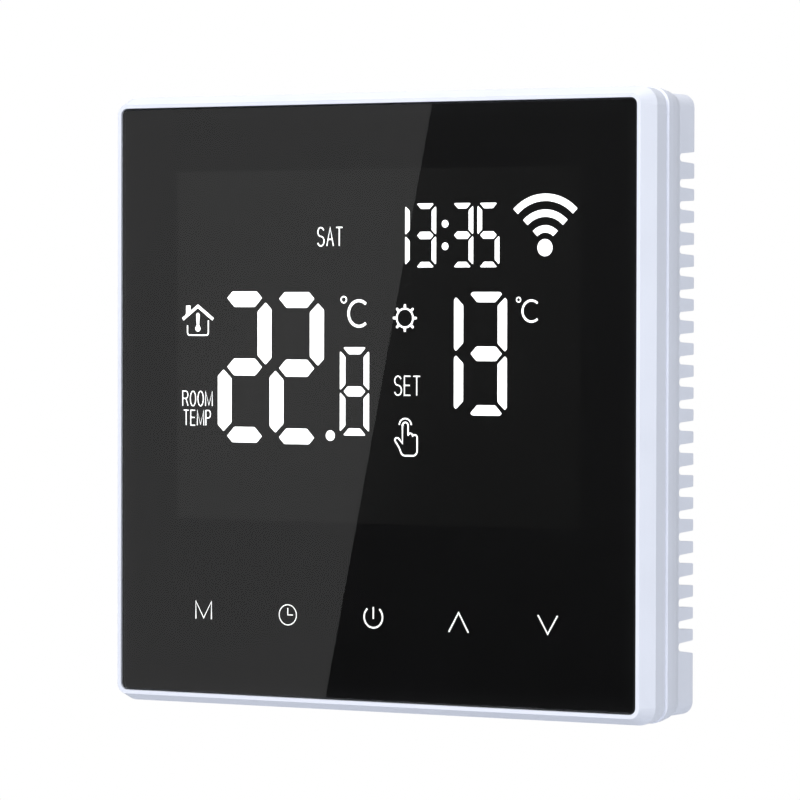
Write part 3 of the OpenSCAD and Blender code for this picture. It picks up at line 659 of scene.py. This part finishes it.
def set_temperature():
    plates = SET_DIGITS.strokes(12.5, -1.5, LIT[1]) + SET_DIGITS.strokes(14.31, -1.55, LIT[3])
    symbol("set_digits", plates)
    symbol("set_degree_ring", pens=[arc((22.6, 14.27), (0.32, 0.32), 0, 360)], pen=0.17)
    symbol("set_degree_letter", pens=word("C", (23.05, 11.15), (26.0, 14.32), 0.3), pen=0.3)
    symbol("set_label", pens=word("SET", (2.97, 1.0), (7.23, 3.8), 0.17), pen=0.17)


def clock_time():
    low = 18.69
    ones = CLOCK_DIGITS.strokes(4.72, low, LIT[1])
    threes = CLOCK_DIGITS.strokes(6.2, low, LIT[3]) + CLOCK_DIGITS.strokes(12.05, low, LIT[3])
    five = CLOCK_DIGITS.strokes(16.15, low, LIT[5])
    colon = [disc((11.07, 24.67), 0.53), disc((11.07, 21.58), 0.53)]
    symbol("clock_digits", ones + threes + five + colon)
    symbol("weekday_label", pens=word("SAT", (-9.5, 21.62), (-5.28, 24.37), 0.18), pen=0.18)


def radio_waves():
    centre = (26.7, 21.65)
    bands = [ring_part(centre, outer, 1.0, 45, 135) for outer in (7.0, 4.85, 2.72)]
    symbol("radio_symbol", bands + [disc((26.66, 21.33), 1.17)])


def house_mark():
    x, z = -29.2, 9.1
    roof = [(-2.55, 2.35), (0, 4.2), (2.55, 2.35)]
    left = [(-1.75, 1.5), (-1.75, 0.5)] + arc((-1.35, 0.5), (0.4, 0.4), 190, 260, 4)
    right = arc((1.35, 0.5), (0.4, 0.4), 280, 350, 4) + [(1.75, 0.5), (1.75, 2.2)]
    chimney = [(-2.0, 2.9), (-1.25, 3.45), (-1.25, 4.3), (-2.0, 4.3)]
    tube = [(-0.2, 1.3), (0.2, 1.3), (0.3, 3.0), (0.15, 3.25), (-0.15, 3.25), (-0.3, 3.0)]
    bulb = disc((0, 1.05), 0.45)
    symbol("house_roof", [shifted(chimney, x, z)], [shifted(roof, x, z)], 0.44)
    symbol("house_walls", [shifted(tube, x, z), shifted(bulb, x, z)], [shifted(left + right, x, z)], 0.2)


def sun_mark():
    centre, rays = (4.7, 11.73), 8
    symbol("sun_ring", pens=[arc(centre, (1.3, 1.3), 0, 360)], pen=0.26)
    plates = []
    for i in range(rays):
        a = 2 * math.pi * i / rays
        out, side = Vector((math.cos(a), math.sin(a))), Vector((-math.sin(a), math.cos(a)))
        ends = [(1.4, -0.2), (1.92, -0.17), (1.92, 0.17), (1.4, 0.2)]
        plates.append(rounded([tuple(Vector(centre) + out * r + side * s) for r, s in ends], 0.14))
    symbol("sun_rays", plates)


def touch_hand():
    """A plain hand with one raised finger, which says that the display answers to touch."""
    x, z = 5.1, -7.3
    finger = [(-0.75, 1.75), (-0.75, 4.2)] + arc((-0.3, 4.2), (0.45, 0.45), 180, 0, 8) + [(0.15, 2.95)]
    knuckles = arc((0.5, 2.8), (0.36, 0.36), 160, 20, 6) + arc((1.2, 2.55), (0.4, 0.4), 140, 0, 6)
    heel = arc((0.9, 0.8), (0.7, 0.75), 0, -80, 6) + arc((-0.35, 0.8), (0.7, 0.75), -100, -150, 4)
    thumb = [(-1.3, 1.2)] + arc((-1.6, 2.2), (0.36, 0.3), 215, 30, 6) + [(-0.75, 1.75)]
    symbol("touch_hand", pens=[shifted(finger + knuckles + heel + thumb, x, z)], pen=0.22)
    symbol("touch_halo", pens=[shifted(arc((-0.3, 4.2), (0.98, 0.98), 5, 175, 12), x, z)], pen=0.2)


# ---------------------------------------------------------------- the five touch symbols under the display


def key_symbols():
    def key(name, plates=(), pens=(), pen=0.3):
        symbol(name, plates, pens, pen, KEY_LIGHT, 0.0)

    key("key_menu", pens=word("M", (-29.31, -31.01), (-26.51, -28.32), 0.19), pen=0.19)
    clock = (-13.92, -29.86)
    hands = [(clock[0], clock[1] + 0.95), clock, (clock[0] + 0.85, clock[1])]
    key("key_clock_face", pens=[arc(clock, (1.42, 1.42), 0, 360)], pen=0.14)
    key("key_clock_hands", pens=[hands], pen=0.15)
    power = (0.0, -29.69)
    key("key_power_ring", pens=[arc(power, (1.48, 1.48), 130, 410, 32)], pen=0.24)
    key("key_power_bar", pens=[[(0, power[1] + 1.4), (0, power[1] - 0.25)]], pen=0.22)
    key("key_up", pens=[[(12.05, -31.3), (13.59, -28.62), (15.13, -31.3)]], pen=0.23)
    key("key_down", pens=[[(25.99, -28.52), (27.5, -31.05), (29.01, -28.52)]], pen=0.22)


# ---------------------------------------------------------------- the print on the back of the glass


def print_outlines():
    """The print's outer edge, one arc a corner, and the window's corners, both anticlockwise from +X +Z."""
    half = GLASS_HIGH.x - PRINT_MARGIN
    centre = half - PRINT_CORNER
    arcs = []
    for quarter, (sx, sz) in enumerate(((1, 1), (-1, 1), (-1, -1), (1, -1))):
        start = 90 * quarter
        arcs.append(arc((sx * centre, sz * centre), (PRINT_CORNER, PRINT_CORNER), start, start + 90, 6))
    window = [
        (WINDOW_HALF_WIDTH, WINDOW_HIGH),
        (-WINDOW_HALF_WIDTH, WINDOW_HIGH),
        (-WINDOW_HALF_WIDTH, WINDOW_LOW),
        (WINDOW_HALF_WIDTH, WINDOW_LOW),
    ]
    return arcs, window


def print_sheet(shape, arcs, window, y):
    """One face of the ring of print; returns its outer and inner loops."""
    outer = [[shape.verts.new((x, y, z)) for x, z in line] for line in arcs]
    inner = [shape.verts.new((x, y, z)) for x, z in window]
    for i in range(4):
        for first, second in zip(outer[i], outer[i][1:]):
            shape.faces.new((first, second, inner[i]))
        j = (i + 1) % 4
        shape.faces.new((outer[i][-1], outer[j][0], inner[j], inner[i]))
    return [vert for line in outer for vert in line], inner


def glass_print():
    arcs, window = print_outlines()
    shape = bmesh.new()
    near = print_sheet(shape, arcs, window, INK_FRONT)
    far = print_sheet(shape, arcs, window, PRINT_BACK)
    for front_loop, back_loop in zip(near, far):
        count = len(front_loop)
        for i in range(count):
            j = (i + 1) % count
            shape.faces.new((front_loop[i], front_loop[j], back_loop[j], back_loop[i]))
    printed = finished_shape("back_print", shape, FINISHES["black_print"])
    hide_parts("glass_mask")


def display_window():
    window = print_outlines()[1]
    shape = bmesh.new()
    plate_into(shape, [(x / MM, z / MM) for x, z in window], INK_FRONT, PRINT_BACK - INK_FRONT, 0.0)
    finished_shape("window_film", shape, WINDOW_FILM)


# ---------------------------------------------------------------- camera, lights and stage

AZIMUTH, ELEVATION, ROLL = (math.radians(a) for a in (30.426, 1.129, 0.112))
DISTANCE = 663.87 * MM
AIM = Vector((0.462, -7.8, 0.279)) * MM
LENS = 214.2


def toward_camera():
    flat = math.cos(ELEVATION)
    return Vector((math.sin(AZIMUTH) * flat, -math.cos(AZIMUTH) * flat, math.sin(ELEVATION)))


def make_camera():
    data = bpy.data.cameras.new("camera")
    data.lens, data.sensor_width = LENS, 36
    data.clip_start, data.clip_end = 0.01, 20
    camera = bpy.data.objects.new("camera", data)
    bpy.context.scene.collection.objects.link(camera)
    back = toward_camera()
    turn = (-back).to_track_quat("-Z", "Y").to_matrix() @ Matrix.Rotation(ROLL, 3, "Z")
    camera.matrix_world = Matrix.Translation(AIM + back * DISTANCE) @ turn.to_4x4()
    bpy.context.scene.camera = camera
    return camera


def softbox(name, place, size, radiance, colour=(1, 1, 1), target=(0, 0, 0)):
    """A square studio light of the given radiance, aimed at the target."""
    data = bpy.data.lights.new(name, "AREA")
    data.shape = "SQUARE"
    data.size = size
    data.energy = radiance * math.pi * size * size
    data.color = colour
    lamp = bpy.data.objects.new(name, data)
    bpy.context.scene.collection.objects.link(lamp)
    lamp.location = place
    lamp.rotation_euler = (Vector(target) - Vector(place)).to_track_quat("-Z", "Y").to_euler()
    lamp.visible_camera = False
    return lamp


def stage_plane(name, corners, finish):
    mesh = bpy.data.meshes.new(name)
    mesh.from_pydata([tuple(c) for c in corners], [], [(0, 1, 2, 3)])
    plane = bpy.data.objects.new(name, mesh)
    bpy.context.scene.collection.objects.link(plane)
    mesh.materials.append(finish.material)
    return plane


def card(name, corners, low, high):
    """A card seen only in the glass, whose radiance runs from low at its foot to high at its top."""
    finish = Finish(name, (0, 0, 0), 1.0)
    finish.put("Specular IOR Level", 0.0)
    finish.put("Emission Color", (1, 1, 1, 1))
    up = finish.node("ShaderNodeSeparateXYZ", {"Vector": finish.place}).outputs["Z"]
    bottom, top = corners[0][2], corners[-1][2]
    finish.join(finish.spread(up, low, high, bottom, top), finish.shader.inputs["Emission Strength"])
    plane = stage_plane(name, corners, finish)
    plane.visible_camera = False
    plane.visible_shadow = False
    plane.visible_diffuse = False
    return plane


def reflected_cards():
    """A grey card whose straight edge crosses the glass at a slant, in front of a dark one."""
    mirror = AIM + toward_camera() * DISTANCE
    mirror.y = 2 * GLASS_FRONT - mirror.y

    def seen_at(x, z, depth):
        on_glass = Vector((x * MM, GLASS_FRONT, z * MM))
        share = (depth - mirror.y) / (GLASS_FRONT - mirror.y)
        return mirror + (on_glass - mirror) * share

    near, far = -0.6, -0.62
    reach, foot, top = 60, -11.08, 13.67  # the slant crosses the glass from foot to top
    slant = [(-reach, -reach), (foot, -reach), (top, reach), (-reach, reach)]
    card("grey_card", [seen_at(x, z, near) for x, z in slant], 0.7, 0.74)
    reach += 2
    whole = [(-reach, -reach), (reach, -reach), (reach, reach), (-reach, reach)]
    card("dark_card", [seen_at(x, z, far) for x, z in whole], 0.055, 0.19)


def make_floor():
    finish = Finish("pale_floor", (0.6, 0.62, 0.66), 0.9)
    finish.tone(0.01, 0.4)
    finish.bump(finish.noise(0.01), 0.0002)
    half, low = 0.75, cad_low.z - 0.16
    corners = [(-half, -half, low), (half, -half, low), (half, half, low), (-half, half, low)]
    stage_plane("floor", corners, finish)


def make_world():
    """White behind the object, and a dimmer even light all round."""
    world = bpy.data.worlds.new("studio")
    bpy.context.scene.world = world
    world.use_nodes = True
    tree = world.node_tree
    sky = tree.nodes["Background"]
    sky.inputs["Color"].default_value = (0.94, 0.97, 1.0, 1)
    sky.inputs["Strength"].default_value = 0.35
    seen = tree.nodes.new("ShaderNodeBackground")
    seen.inputs["Color"].default_value = (1, 1, 1, 1)
    seen.inputs["Strength"].default_value = 1.0
    mix = tree.nodes.new("ShaderNodeMixShader")
    path = tree.nodes.new("ShaderNodeLightPath")
    tree.links.new(path.outputs["Is Camera Ray"], mix.inputs["Fac"])
    tree.links.new(sky.outputs["Background"], mix.inputs[1])
    tree.links.new(seen.outputs["Background"], mix.inputs[2])
    tree.links.new(mix.outputs["Shader"], tree.nodes["World Output"].inputs["Surface"])


def make_studio():
    make_camera()
    make_world()
    make_floor()
    reflected_cards()
    softbox("key_light", (0.1, -0.7, 0.75), 0.6, 7.0)
    softbox("top_light", (-0.5, -0.05, 0.88), 0.5, 5.1)
    softbox("side_light", (0.75, -0.75, 0.05), 0.4, 5.4, (0.95, 0.975, 1.0))
    softbox("rear_light", (1.0, 0.25, 0.1), 0.35, 2.6, (0.95, 0.975, 1.0))
    bpy.context.scene.view_settings.view_transform = "Standard"
    bpy.context.scene.view_settings.look = "None"


# ---------------------------------------------------------------- build

dress_frame()
glass_print()
display_window()
room_temperature()
set_temperature()
clock_time()
radio_waves()
house_mark()
sun_mark()
touch_hand()
key_symbols()
make_studio()
